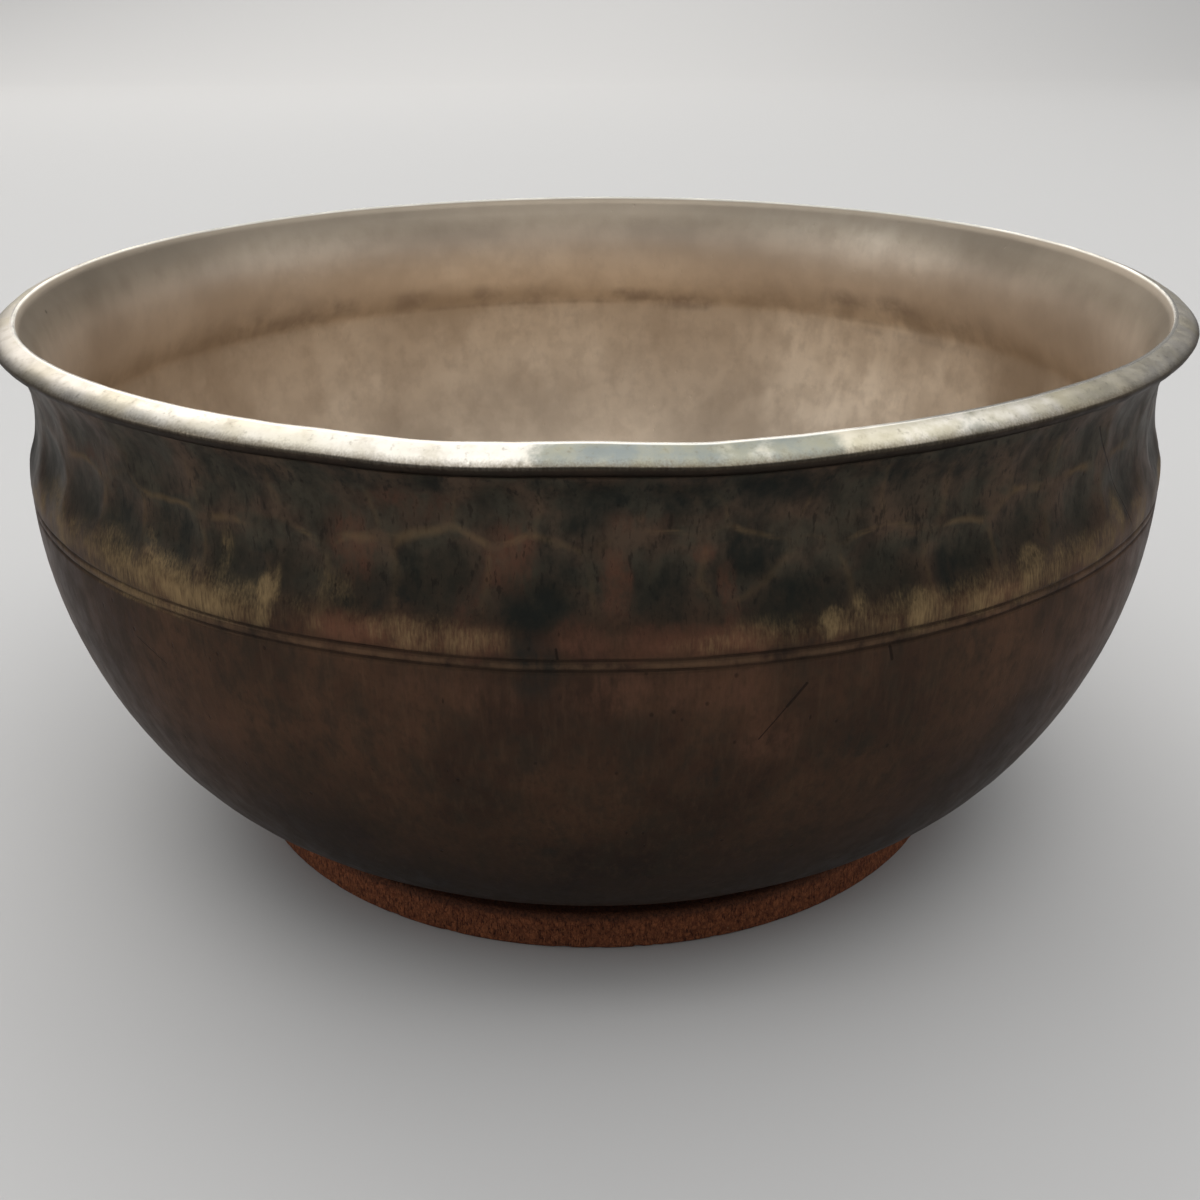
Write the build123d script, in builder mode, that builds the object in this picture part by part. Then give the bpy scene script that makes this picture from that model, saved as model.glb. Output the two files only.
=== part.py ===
from build123d import *
from math import acos, asin, degrees
import os

# A thick hand-hammered brass bowl that stands on a loose round cork pad.
# Millimetres, +Z up. The origin is the centre of the cork pad's underside, and Z is the bowl's axis.

# Cork pad
PAD_RADIUS = 95
PAD_THICKNESS = 9.5
PAD_EDGE_ROUNDING = 1.2

# Bowl, outside: a chain of tangent arcs (heel, side, shoulder, neck) under a thick sloping lip
SIDE_CURVE = 104.7  # radius of the side's long arc
SIDE_TOP = 93.5  # height where the side starts to curve in
HEEL_CURVE = 58  # radius of the tighter arc between the side and the flat seat
SHOULDER_RADIUS = 138.3  # widest line of the body
SHOULDER_ROUNDING = 25
NECK_RADIUS = 134.9  # narrowest line, between the shoulder and the lip
NECK_HEIGHT = 115.5  # height of the narrowest line
NECK_HOLLOW = 30  # radius of the neck's hollow curve

# Lip
RIM_HEIGHT = 134.2  # highest line of the lip, above the table
MOUTH_RADIUS = 136  # inner edge
LIP_RADIUS = 141.5  # outer edge
LIP_DROP = 2.9  # fall of the top face from its inner to its outer edge
LIP_DEPTH = 5.3  # from the highest line down to where the underside meets the neck
LIP_CROWN = 0.6  # bulge of the top face
LIP_BELLY = 0.9  # bulge of the underside
LIP_INNER_ROUNDING = 0.5

# Bowl, inside
NECK_WALL = 4.0
BODY_WALL = 2.8
CREASE_ROUNDING = 5  # inner corner where the thick neck meets the thinner body

# Two thin lines cut round the shoulder
LINE_HEIGHTS = (92.9, 94.9)
LINE_ROUNDING = 0.5  # radius of the cutting tool's tip
LINE_DEPTH = 0.3

# Angles, in degrees, at which the outside arcs run into one another
side_turn = degrees(asin((SIDE_TOP - PAD_THICKNESS - HEEL_CURVE) / (SIDE_CURVE - HEEL_CURVE)))
shoulder_centre_radius = SHOULDER_RADIUS - SHOULDER_ROUNDING
neck_centre_radius = NECK_RADIUS + NECK_HOLLOW
shoulder_turn = degrees(
    acos((neck_centre_radius - shoulder_centre_radius) / (NECK_HOLLOW + SHOULDER_ROUNDING))
)
neck_rise = degrees(asin((RIM_HEIGHT - LIP_DEPTH - NECK_HEIGHT) / NECK_HOLLOW))

# Centres of those arcs in the section, as (distance from the axis, height)
side_centre = Vector(SHOULDER_RADIUS - SIDE_CURVE, SIDE_TOP)
heel_centre = side_centre + Vector(SIDE_CURVE - HEEL_CURVE, 0).rotate(Axis.Z, -side_turn)
neck_centre = Vector(neck_centre_radius, NECK_HEIGHT)
shoulder_centre = neck_centre + Vector(-NECK_HOLLOW - SHOULDER_ROUNDING, 0).rotate(
    Axis.Z, shoulder_turn
)

# Angles at which the inside of the neck meets the body's inner wall and the mouth
inner_neck = NECK_HOLLOW + NECK_WALL
crease_turn = degrees(acos((neck_centre.X - SHOULDER_RADIUS + BODY_WALL) / inner_neck))
mouth_rise = degrees(acos((neck_centre.X - MOUTH_RADIUS) / inner_neck))


with BuildPart() as cork_pad:
    with BuildSketch():
        Circle(PAD_RADIUS)
    extrude(amount=PAD_THICKNESS)
    fillet(cork_pad.edges().filter_by(GeomType.CIRCLE), PAD_EDGE_ROUNDING)

with BuildPart() as bowl:
    with BuildSketch(Plane.XZ) as section:
        with BuildLine():
            seat = Line((0, PAD_THICKNESS), (heel_centre.X, PAD_THICKNESS))
            heel = CenterArc(heel_centre, HEEL_CURVE, -90, 90 - side_turn)
            side = CenterArc(side_centre, SIDE_CURVE, -side_turn, side_turn)
            belly = Line(side @ 1, (SHOULDER_RADIUS, shoulder_centre.Y))
            shoulder = CenterArc(shoulder_centre, SHOULDER_ROUNDING, 0, shoulder_turn)
            neck = CenterArc(
                neck_centre, NECK_HOLLOW, 180 + shoulder_turn, -shoulder_turn - neck_rise
            )
            lip_underside = SagittaArc(neck @ 1, (LIP_RADIUS, RIM_HEIGHT - LIP_DROP), -LIP_BELLY)
            lip_top = SagittaArc(lip_underside @ 1, (MOUTH_RADIUS, RIM_HEIGHT), -LIP_CROWN)
            Polyline(lip_top @ 1, (0, RIM_HEIGHT), (0, PAD_THICKNESS))
        make_face()
        with BuildLine():
            floor = Line(
                (0, PAD_THICKNESS + BODY_WALL), (heel_centre.X, PAD_THICKNESS + BODY_WALL)
            )
            inner_heel = CenterArc(heel_centre, HEEL_CURVE - BODY_WALL, -90, 90 - side_turn)
            inner_side = CenterArc(side_centre, SIDE_CURVE - BODY_WALL, -side_turn, side_turn)
            inner_neck_arc = CenterArc(
                neck_centre, inner_neck, 180 + crease_turn, -crease_turn - mouth_rise
            )
            inner_belly = Line(inner_side @ 1, inner_neck_arc @ 0)
            Polyline(
                inner_neck_arc @ 1,
                (MOUTH_RADIUS, RIM_HEIGHT),
                (0, RIM_HEIGHT),
                floor @ 0,
            )
        make_face(mode=Mode.SUBTRACT)
        crease = section.vertices().sort_by_distance(Vertex(inner_neck_arc @ 0))[0]
        fillet(crease, CREASE_ROUNDING)
        mouth_edge = section.vertices().sort_by_distance((MOUTH_RADIUS, RIM_HEIGHT))[0]
        fillet(mouth_edge, LIP_INNER_ROUNDING)
        for height in LINE_HEIGHTS:
            with Locations((SHOULDER_RADIUS + LINE_ROUNDING - LINE_DEPTH, height)):
                Circle(LINE_ROUNDING, mode=Mode.SUBTRACT)
    revolve(axis=Axis.Z)

cork_pad.part.label = "cork_pad"
bowl.part.label = "bowl"

os.makedirs("parts", exist_ok=True)
export_step(cork_pad.part, "parts/cork_pad.step")
export_step(bowl.part, "parts/bowl.step")
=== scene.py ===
from math import acos, asin, cos, pi, radians, sin

import bpy
import numpy as np
from mathutils import Matrix, Vector


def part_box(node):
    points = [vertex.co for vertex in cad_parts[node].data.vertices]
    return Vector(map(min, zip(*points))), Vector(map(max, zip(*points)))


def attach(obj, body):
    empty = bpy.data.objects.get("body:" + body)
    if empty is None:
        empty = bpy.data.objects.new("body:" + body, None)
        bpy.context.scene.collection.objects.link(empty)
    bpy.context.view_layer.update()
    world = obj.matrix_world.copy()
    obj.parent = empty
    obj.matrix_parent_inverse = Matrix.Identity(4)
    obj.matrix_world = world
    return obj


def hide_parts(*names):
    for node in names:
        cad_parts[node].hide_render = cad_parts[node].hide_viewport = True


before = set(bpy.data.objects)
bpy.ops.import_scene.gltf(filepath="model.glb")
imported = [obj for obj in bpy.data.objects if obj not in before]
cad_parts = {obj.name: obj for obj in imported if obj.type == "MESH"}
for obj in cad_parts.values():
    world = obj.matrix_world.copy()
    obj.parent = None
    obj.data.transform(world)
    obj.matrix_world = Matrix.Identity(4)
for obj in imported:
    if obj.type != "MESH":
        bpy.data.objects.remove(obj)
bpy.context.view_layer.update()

# The hammered bowl and its cork pad, in metres, Z up, in the CAD model's frame.
pad_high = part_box("cork_pad")[1]
bowl_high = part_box("bowl")[1]

MM = 0.001

# Places that the CAD model sets
PAD_RADIUS = pad_high.x
PAD_TOP = pad_high.z
PAD_EDGE_ROUNDING = 1.2 * MM
RIM_HEIGHT = bowl_high.z
LIP_RADIUS = bowl_high.x

# The bowl's section: tangent arcs for heel, side, shoulder and neck, under a sloping lip
SIDE_CURVE = 104.7 * MM
SIDE_TOP = 93.5 * MM
HEEL_CURVE = 58 * MM
SHOULDER_RADIUS = 138.3 * MM
SHOULDER_ROUNDING = 25 * MM
NECK_RADIUS = 134.9 * MM
NECK_HEIGHT = 115.5 * MM
NECK_HOLLOW = 30 * MM
MOUTH_RADIUS = 136 * MM
LIP_DROP = 2.9 * MM
LIP_DEPTH = 5.3 * MM
LIP_CROWN = 0.6 * MM
LIP_BELLY = 0.9 * MM
NECK_WALL = 4.0 * MM
BODY_WALL = 2.8 * MM
CREASE_ROUNDING = 5 * MM
LINE_HEIGHTS = (92.9 * MM, 94.9 * MM)
LINE_HALF_WIDTH = 0.55 * MM
LINE_DEPTH = 0.32 * MM
NECK_TOP = RIM_HEIGHT - LIP_DEPTH

# Where the section's arcs meet, in radians, and their centres as (distance from the axis, height)
SIDE_TURN = asin((SIDE_TOP - PAD_TOP - HEEL_CURVE) / (SIDE_CURVE - HEEL_CURVE))
SIDE_CENTRE = (SHOULDER_RADIUS - SIDE_CURVE, SIDE_TOP)
HEEL_CENTRE = (SIDE_CENTRE[0] + (SIDE_CURVE - HEEL_CURVE) * cos(SIDE_TURN), PAD_TOP + HEEL_CURVE)
NECK_CENTRE = (NECK_RADIUS + NECK_HOLLOW, NECK_HEIGHT)
NECK_REACH = NECK_HOLLOW + SHOULDER_ROUNDING
SHOULDER_TURN = acos((NECK_CENTRE[0] - SHOULDER_RADIUS + SHOULDER_ROUNDING) / NECK_REACH)
SHOULDER_CENTRE = (SHOULDER_RADIUS - SHOULDER_ROUNDING, NECK_HEIGHT - NECK_REACH * sin(SHOULDER_TURN))
NECK_RISE = asin((NECK_TOP - NECK_HEIGHT) / NECK_HOLLOW)
INNER_NECK = NECK_HOLLOW + NECK_WALL
MOUTH_RISE = acos((NECK_CENTRE[0] - MOUTH_RADIUS) / INNER_NECK)

# The rounded inner corner touches the body's upright inner wall and the neck's inner arc
WALL_RADIUS = SHOULDER_RADIUS - BODY_WALL
CORNER_RADIUS = WALL_RADIUS - CREASE_ROUNDING
CORNER_TURN = acos((NECK_CENTRE[0] - CORNER_RADIUS) / (INNER_NECK + CREASE_ROUNDING))
CORNER_CENTRE = (CORNER_RADIUS, NECK_HEIGHT - (INNER_NECK + CREASE_ROUNDING) * sin(CORNER_TURN))

AROUND = 720  # points round the bowl
FRONT = -pi / 2  # the angle that faces the camera


# ---------------------------------------------------------------- smooth seeded noise


def lattice(cells, seed):
    """One repeatable number from -1 to 1 for each cell. The large factors only stir its bits."""
    mixed = cells[..., 0] * 73856093 ^ cells[..., 1] * 19349663 ^ cells[..., 2] * 83492791
    mixed = (mixed ^ seed * 2654435761) & 0xFFFFFFFF
    mixed = (mixed ^ mixed >> 13) * 1540483477 & 0xFFFFFFFF
    mixed = (mixed ^ mixed >> 15) * 668265263 & 0xFFFFFFFF
    return (mixed ^ mixed >> 16) / 2147483647.5 - 1


def noise(points, size, seed):
    """Smooth noise from -1 to 1 whose bumps are about size across. Size may be one number or one per axis."""
    places = points / np.asarray(size)
    low = np.floor(places).astype(np.int64)
    part = places - low
    part = part * part * (3 - 2 * part)
    total = np.zeros(len(points))
    for corner in np.ndindex(2, 2, 2):
        weight = np.prod(np.where(corner, part, 1 - part), axis=1)
        total += weight * lattice(low + np.array(corner), seed)
    return total


def layered(points, size, seed, layers=3):
    """Noise with finer and weaker noise added on top."""
    total, reach = 0, 0
    for n in range(layers):
        total = total + noise(points, np.asarray(size) / 2**n, seed + 17 * n) / 1.8**n
        reach += 1 / 1.8**n
    return total / reach


def smooth(value, start, end):
    """0 at start, 1 at end, with soft ends."""
    t = np.clip((value - start) / (end - start), 0, 1)
    return t * t * (3 - 2 * t)


def bump(value, centre, half_width):
    """1 at centre, falling softly to 0 at half_width either side."""
    return 1 - smooth(abs(value - centre), 0, half_width)


# ---------------------------------------------------------------- the bowl's outline


def arc(centre, radius, start, end, step=0.05 * MM):
    """Points along an arc, from angle start to end in radians, as (distance from the axis, height)."""
    count = max(3, int(abs(end - start) * radius / step))
    angles = np.linspace(start, end, count)
    return np.stack([centre[0] + radius * np.cos(angles), centre[1] + radius * np.sin(angles)], 1)


def straight(start, end, step=0.05 * MM):
    """Points along a straight line, from start to end."""
    count = max(3, int(np.hypot(end[0] - start[0], end[1] - start[1]) / step))
    return np.linspace(start, end, count)


def bulged(start, end, bulge, count=60):
    """A line from start to end that bulges to its right-hand side by a parabola."""
    t = np.linspace(0, 1, count)[:, None]
    along = np.array(end) - np.array(start)
    across = np.array([along[1], -along[0]]) / np.hypot(*along)
    return np.array(start) + t * along + 4 * t * (1 - t) * bulge * across


def outline_stretches():
    """The bowl's section, stretch by stretch, as (distance from the axis, height) points. It runs out along
    the seat, up outside, over the lip and down inside."""
    quarter = pi / 2
    neck = arc(NECK_CENTRE, NECK_HOLLOW, pi + SHOULDER_TURN, pi - NECK_RISE)
    lip_edge = (LIP_RADIUS, RIM_HEIGHT - LIP_DROP)
    crest = (MOUTH_RADIUS, RIM_HEIGHT)
    return {
        "seat": straight((0, PAD_TOP), (HEEL_CENTRE[0], PAD_TOP)),
        "heel": arc(HEEL_CENTRE, HEEL_CURVE, -quarter, -SIDE_TURN),
        "side": arc(SIDE_CENTRE, SIDE_CURVE, -SIDE_TURN, 0),
        "belly": straight((SHOULDER_RADIUS, SIDE_TOP), (SHOULDER_RADIUS, SHOULDER_CENTRE[1])),
        "shoulder": arc(SHOULDER_CENTRE, SHOULDER_ROUNDING, 0, SHOULDER_TURN),
        "neck": neck,
        "underside": bulged(neck[-1], lip_edge, LIP_BELLY),
        "lip": bulged(lip_edge, crest, LIP_CROWN),
        "inner_neck": arc(NECK_CENTRE, INNER_NECK, pi - MOUTH_RISE, pi + CORNER_TURN),
        "crease": arc(CORNER_CENTRE, CREASE_ROUNDING, CORNER_TURN, 0),
        "inner_belly": straight((WALL_RADIUS, CORNER_CENTRE[1]), (WALL_RADIUS, SIDE_TOP)),
        "inner_side": arc(SIDE_CENTRE, SIDE_CURVE - BODY_WALL, 0, -SIDE_TURN),
        "inner_heel": arc(HEEL_CENTRE, HEEL_CURVE - BODY_WALL, -SIDE_TURN, -quarter),
        "floor": straight((HEEL_CENTRE[0], PAD_TOP + BODY_WALL), (0, PAD_TOP + BODY_WALL)),
    }


def outline():
    """All the section's points in one row, the length along it at each, and where each stretch ends."""
    stretches = outline_stretches()
    points = np.concatenate(list(stretches.values()))
    lengths = np.concatenate([[0], np.cumsum(np.hypot(*np.diff(points, axis=0).T))])
    ends = dict(zip(stretches, lengths[np.cumsum([len(s) for s in stretches.values()]) - 1]))
    return points, lengths, ends


# Distance between rows of points along each stretch of the outline
ROW_STEPS = {
    "seat": 18 * MM,
    "heel": 5 * MM,
    "side": 4 * MM,
    "belly": 1.0 * MM,
    "shoulder": 1.0 * MM,
    "neck": 1.0 * MM,
    "underside": 0.8 * MM,
    "lip": 0.6 * MM,
    "inner_neck": 2.6 * MM,
    "crease": 1.2 * MM,
    "inner_belly": 2.0 * MM,
    "inner_side": 6 * MM,
    "inner_heel": 7 * MM,
    "floor": 18 * MM,
}
LINE_ROW_STEP = 0.22 * MM
LINE_MARGIN = 1.1 * MM  # how far the close rows reach past the two cut lines


def with_close_rows(spots, points, lengths, ends):
    """The rows' places, with close rows across the two cut lines in place of the side's wide ones."""
    outer = lengths < ends["belly"]
    reach = [LINE_HEIGHTS[0] - LINE_MARGIN, LINE_HEIGHTS[1] + LINE_MARGIN]
    low, high = np.interp(reach, points[outer, 1], lengths[outer])
    close = np.linspace(low, high, round((high - low) / LINE_ROW_STEP))
    clear = (spots < low - 0.5 * MM) | (spots > high + 0.3 * MM)
    return np.sort(np.concatenate([spots[clear], close]))


def rows():
    """Where the mesh's rows lie: each one's distance, height and length along the outline, the direction
    that the outline takes there, and the stretch ends."""
    points, lengths, ends = outline()
    spots, start = [], 0
    for name, end in ends.items():
        count = max(1, round((end - start) / ROW_STEPS[name]))
        spots.append(np.linspace(start, end, count, endpoint=False))
        start = end
    spots = with_close_rows(np.concatenate(spots), points, lengths, ends)
    spots = spots[spots > 0]
    across = np.interp(spots, lengths, points[:, 0])
    height = np.interp(spots, lengths, points[:, 1])
    slope = np.stack([np.gradient(across), np.gradient(height)], 1)
    slope /= np.linalg.norm(slope, axis=1, keepdims=True)
    return across, height, spots, slope, ends


# ---------------------------------------------------------------- hammer work and marks

# Hammer dents on the front of the neck: degrees from the front, height in mm, half width in degrees and half
# height in mm. The rest of each row is filled in by chance.
UPPER_DENTS = (
    (-56, 123, 4.5, 8),
    (-47, 121, 4.6, 7),
    (-36.7, 121.5, 4.6, 8),
    (-28.6, 121, 4, 7.5),
    (-20.3, 120.5, 4.6, 6.8),
    (-13.2, 121.5, 3.2, 8),
    (-7, 121, 3.6, 6),
    (-0.5, 121, 3.8, 7),
    (6, 122, 3.4, 5.5),
    (12.3, 122.5, 3.4, 6.5),
    (18.6, 121.5, 3.4, 7),
    (24.2, 121, 3.4, 6.5),
    (30, 119, 3.9, 6.8),
    (36.6, 121.5, 3.2, 6.5),
    (43.5, 122, 4.4, 7.5),
    (52, 121.5, 4.6, 8),
)
LOWER_DENTS = (
    (-57, 108, 4.6, 9),
    (-49, 108.5, 4.4, 8),
    (-42, 107, 3.6, 8.5),
    (-35.4, 107.5, 4, 8.5),
    (-28.4, 106, 3.8, 8),
    (-22.8, 107, 3.2, 7),
    (-17.6, 106.5, 3.6, 7.5),
    (-11.2, 109, 3.9, 9.5),
    (-3.8, 107, 3.9, 9.5),
    (4.4, 106.5, 4.2, 9),
    (10.9, 110.5, 3.2, 6),
    (15.2, 104, 4.4, 8),
    (22.2, 106, 3.9, 8.5),
    (29, 105.5, 3.7, 8),
    (35.3, 107.5, 3.3, 9),
    (43.2, 107, 4.6, 8.5),
    (52.5, 107, 4.8, 9),
)
UPPER_DEPTH = 0.6 * MM
LOWER_DEPTH = 0.85 * MM
DENT_BLEND = 0.04 * MM  # how soft the ridges between dents are
DENT_WARP = 1.9 * MM  # how far the dents' outlines are bent up and down
DENT_TURN = 0.02  # how far they are bent sideways, in radians
DENT_GRAIN = 9 * MM  # size of those bends
NO_DENT = -9 * MM
FRONT_SHARE = 62  # degrees each side of the front that the lists cover

# Marks on the metal: degrees from the front, height in mm, half width in degrees, half height in mm, strength
OCHRE = (
    (-41, 99.4, 22, 5.6, 0.6),
    (38, 98.6, 28, 4, 0.5),
    (-56, 101, 6, 6.5, 0.6),
    (-47, 99.5, 4, 5, 0.5),
    (-41.5, 99, 3, 5, 0.55),
    (-34.8, 99, 2.4, 3.6, 1),
    (-38, 103, 1.2, 5, 0.5),
    (-29.6, 107, 0.7, 6, 0.35),
    (-30, 98.6, 4, 4, 0.75),
    (-42, 93.9, 9, 1.6, 0.6),
    (-25.4, 100.6, 0.9, 5, 1),
    (-24.6, 104, 0.5, 3.4, 0.8),
    (-12, 98.6, 6, 3.6, 0.4),
    (-20, 104, 2, 5, 0.3),
    (8, 97.2, 3.4, 2, 0.4),
    (17.6, 98.4, 1.6, 3.6, 0.8),
    (19.6, 101, 0.8, 3, 0.6),
    (24.6, 98.4, 1.2, 3.6, 0.8),
    (31, 97, 3.6, 2.4, 0.6),
    (36.4, 99.4, 2, 4.4, 0.8),
    (44, 99.6, 4, 4, 0.5),
    (50.5, 102, 2, 6, 0.5),
    (56, 100, 4, 6, 0.5),
)
HIDDEN_OCHRE = ((180, 98.8, 112, 4.6, 0.5),)  # the same band, carried round the back
COPPER = (
    (-18.4, 113, 2.4, 7, 0.5),
    (-18, 98.4, 3, 2.6, 1),
    (-12, 98, 8, 4, 0.5),
    (-6.2, 112, 2.4, 6.5, 0.65),
    (-5.6, 108.5, 1.2, 4, 0.6),
    (-9, 103, 1.6, 5, 0.4),
    (-13, 122, 4, 5, 0.35),
    (1.4, 107, 1.1, 7, 0.9),
    (-1, 98.5, 2.6, 4, 0.7),
    (3.5, 98, 8, 3.4, 1),
    (7.6, 113.5, 1, 2.2, 0.9),
    (9.6, 106, 0.9, 5, 0.8),
    (9.8, 97.6, 2, 1.5, 1),
    (3, 119, 3, 3, 0.4),
    (26.5, 103, 0.8, 6, 0.4),
    (34, 97.6, 2.4, 1.6, 0.6),
    (-46, 116, 4, 4, 0.3),
    (-9, 88, 9, 5, 0.4),
    (5, 88, 10, 6, 0.45),
    (13, 77, 3, 9, 0.45),
    (-33, 72, 4, 12, 0.35),
)
STAIN = (
    (-4.9, 102.5, 1.5, 4.2, 1),
    (-4.9, 97, 1.3, 5, 1),
    (-3.4, 94, 0.8, 5, 1),
    (-4.5, 89.5, 1.5, 4.5, 0.8),
    (-3.4, 107, 1.1, 4, 0.9),
    (-3.6, 114, 0.8, 8, 0.7),
    (-1.6, 111, 1.6, 4, 0.7),
    (-0.8, 121, 2.4, 4.5, 0.9),
    (7, 125.5, 11, 4, 1),
    (3, 124, 2, 3.4, 0.8),
    (12, 124, 1.6, 5, 0.7),
    (-15, 126.5, 7, 2.4, 0.8),
    (-25, 125, 5, 2.4, 0.4),
    (28, 125.5, 10, 3.4, 0.7),
    (11, 112.5, 3, 3.6, 1),
    (14.6, 106, 2.2, 3.4, 0.7),
    (13, 101.5, 2.4, 2, 0.6),
    (23.7, 110, 1.3, 2.6, 1),
    (27.4, 104, 1.2, 4.4, 1),
    (33.6, 112, 1, 3, 0.6),
    (-33.8, 108, 1.1, 4.4, 0.9),
    (-36.4, 111, 1, 3, 0.5),
    (-25.8, 109, 1, 3.4, 0.6),
    (-41.6, 108, 1.2, 4, 0.5),
    (-14, 109, 1.4, 5, 0.6),
    (-17.5, 102.5, 3, 1.6, 0.6),
    (5.4, 108, 1.6, 4, 0.5),
    (8, 71, 2.6, 4, 0.5),
    (20, 72, 1.8, 4, 0.4),
    (10, 54, 1.4, 3, 0.5),
    (-4, 50, 1, 2, 0.5),
)
TARNISH = (
    (-0.4, 131, 5.4, 9, 1),
    (6, 131, 6, 9, 0.8),
    (12.2, 131, 5, 9, 1),
    (28, 131, 2, 9, 0.45),
)
KHAKI = (
    (66, 131, 30, 9, 0.25),
    (30, 131, 12, 9, 1),
    (6, 131, 5, 9, 0.7),
    (-38, 131, 4, 9, 0.3),
)
# The marks inside count their degrees from the back, and rise to the right as seen from the front
# Painted highlights inside: pale patches that stand in for soft reflections
INSIDE_HIGHLIGHTS = (
    (44, 123, 12, 9, 1),
    (38, 78, 13, 24, 1),
    (54, 84, 8, 12, 0.8),
    (-14, 113, 15, 6, 0.9),
    (6, 110, 10, 6, 0.5),
    (-45, 122, 14, 7, 0.5),
    (-38, 82, 5, 16, 0.4),
    (-10, 82, 14, 14, 0.5),
    (30, 126, 6, 7, 0.6),
)
# Darker marks along the inside crease under the neck: partly stains, partly painted shade
CREASE_STAINS_AND_SHADE = (
    (54, 103, 12, 6, 0.5),
    (27, 103, 9, 7, 0.3),
    (-52, 103, 14, 7, 0.45),
    (-48, 101, 8, 4.5, 0.8),
    (-38, 103, 2.2, 3, 0.8),
    (-27.5, 102, 3, 3, 0.7),
    (-16, 101.5, 2, 3, 0.8),
    (-8, 101.5, 2.6, 3, 0.8),
    (-10, 98.4, 17, 1, 0.8),
    (6, 100.5, 3, 2.4, 1),
    (13, 98.8, 5, 2.6, 0.9),
    (45, 105, 13, 3, 0.8),
    (42, 98.6, 12, 0.8, 0.5),
    (50, 95.4, 10, 0.8, 0.5),
)
# Scratches, each from one place to another: degrees and height in mm of both ends, and half width in mm
SCRATCHES = (
    (15.6, 87.8, 14.2, 83.5, 0.30),
    (14.2, 83.5, 12.2, 77, 0.14),
    (22.3, 92.5, 22.6, 89.8, 0.32),
    (45.5, 123, 49.8, 111, 0.20),
    (49.8, 111, 53.5, 97.5, 0.16),
    (-2.9, 97.2, -2.8, 95.2, 0.25),
    (-41, 84, -37.5, 80.5, 0.12),
)

# The rim's rise and dip seen from the front: degrees from the front, change, half width in degrees
RIM_WAVES = (
    (-42, 0.40 * MM, 30),
    (-10.5, -0.50 * MM, 10),
    (9, -0.50 * MM, 10),
    (42, 0.40 * MM, 30),
)


def turned(angle, centre):
    """Angle measured from centre, from -pi to pi."""
    return (angle - centre + pi) % (2 * pi) - pi


def filled_row(front, height, tall, rng):
    """A whole row of dents round the neck: the given ones in front, and chance ones to an even count."""
    free = 360 - 2 * FRONT_SHARE
    count = round(free / 8)
    count += (count + len(front)) % 2
    row = list(front)
    for n in range(count):
        place = FRONT_SHARE + free * (n + 0.5 + rng.uniform(-0.2, 0.2)) / count
        half_width = 0.56 * free / count * rng.uniform(0.85, 1.15)
        row.append((place, height + rng.uniform(-1.5, 1.5), half_width, tall * rng.uniform(0.85, 1.15)))
    return row


def row_depths(angle, height, row, depth, rng):
    """Depth of the deepest odd dent and the deepest even dent of a row, negative outside them all."""
    best = np.full((2, len(angle)), NO_DENT)
    for n, (place, middle, wide, tall) in enumerate(row):
        across = turned(angle, FRONT + radians(place)) / radians(wide)
        up = (height - middle * MM) / (tall * MM) + rng.uniform(-0.25, 0.25) * across
        found = depth * rng.uniform(0.7, 1.15) * (1 - across**2 - up**2)
        best[n % 2] = np.maximum(best[n % 2], found)
    return best


def dents(angle, height, flat):
    """Depth of the hammer work on the neck, and three numbers that are 0 on the ridges: between the two rows,
    and between neighbours in the upper and the lower row."""
    rng = np.random.default_rng(11)
    warped = height + DENT_WARP * layered(flat, DENT_GRAIN, 61, 3)
    turned_a_bit = angle + DENT_TURN * layered(flat, DENT_GRAIN, 62, 3)
    upper = filled_row(UPPER_DENTS, 121.5, 7.5, rng)
    lower = filled_row(LOWER_DENTS, 107, 8.5, rng)
    upper = row_depths(turned_a_bit, warped, upper, UPPER_DEPTH, rng)
    lower = row_depths(turned_a_bit, warped, lower, LOWER_DEPTH, rng)
    found = np.concatenate([upper, lower]) / DENT_BLEND
    total = DENT_BLEND * np.log(1 + np.exp(np.clip(found, -40, 40)).sum(0))
    return total, upper.max(0) - lower.max(0), upper[0] - upper[1], lower[0] - lower[1]


def marks(angle, height, flat, places, seed, front=FRONT):
    """Soft-edged irregular marks, from 0 to 1."""
    unevenness = 1.2 * layered(flat, 7 * MM, seed, 3)
    total = np.zeros(len(angle))
    for place, middle, wide, tall, strength in places:
        across = turned(angle, front + radians(place)) / radians(wide)
        up = (height - middle * MM) / (tall * MM)
        total = np.maximum(total, strength * smooth(across**2 + up**2 + unevenness, 2.2, -0.9))
    return total


def unseen(rng, count, height, spread, wide, tall, strength, start=FRONT_SHARE):
    """Chance marks where the lists leave off, more than start degrees from the front."""
    found = []
    for n in range(count):
        place = start + (360 - 2 * start) * (n + rng.uniform(0, 1)) / count
        size = rng.uniform(0.6, 1.3)
        middle = height + spread * rng.uniform(-1, 1)
        found.append((place, middle, wide * size, tall * size, strength * rng.uniform(0.6, 1)))
    return tuple(found)


def rim_wave(angle, points):
    """How far the rim lies below the CAD model's highest line, as a negative number."""
    wave = -0.45 * MM + 0.18 * MM * layered(points, 40 * MM, 3)
    for degrees, change, half in RIM_WAVES:
        wave += change * bump(turned(angle, FRONT + radians(degrees)), 0, radians(half))
    return np.minimum(wave, 0)


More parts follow.
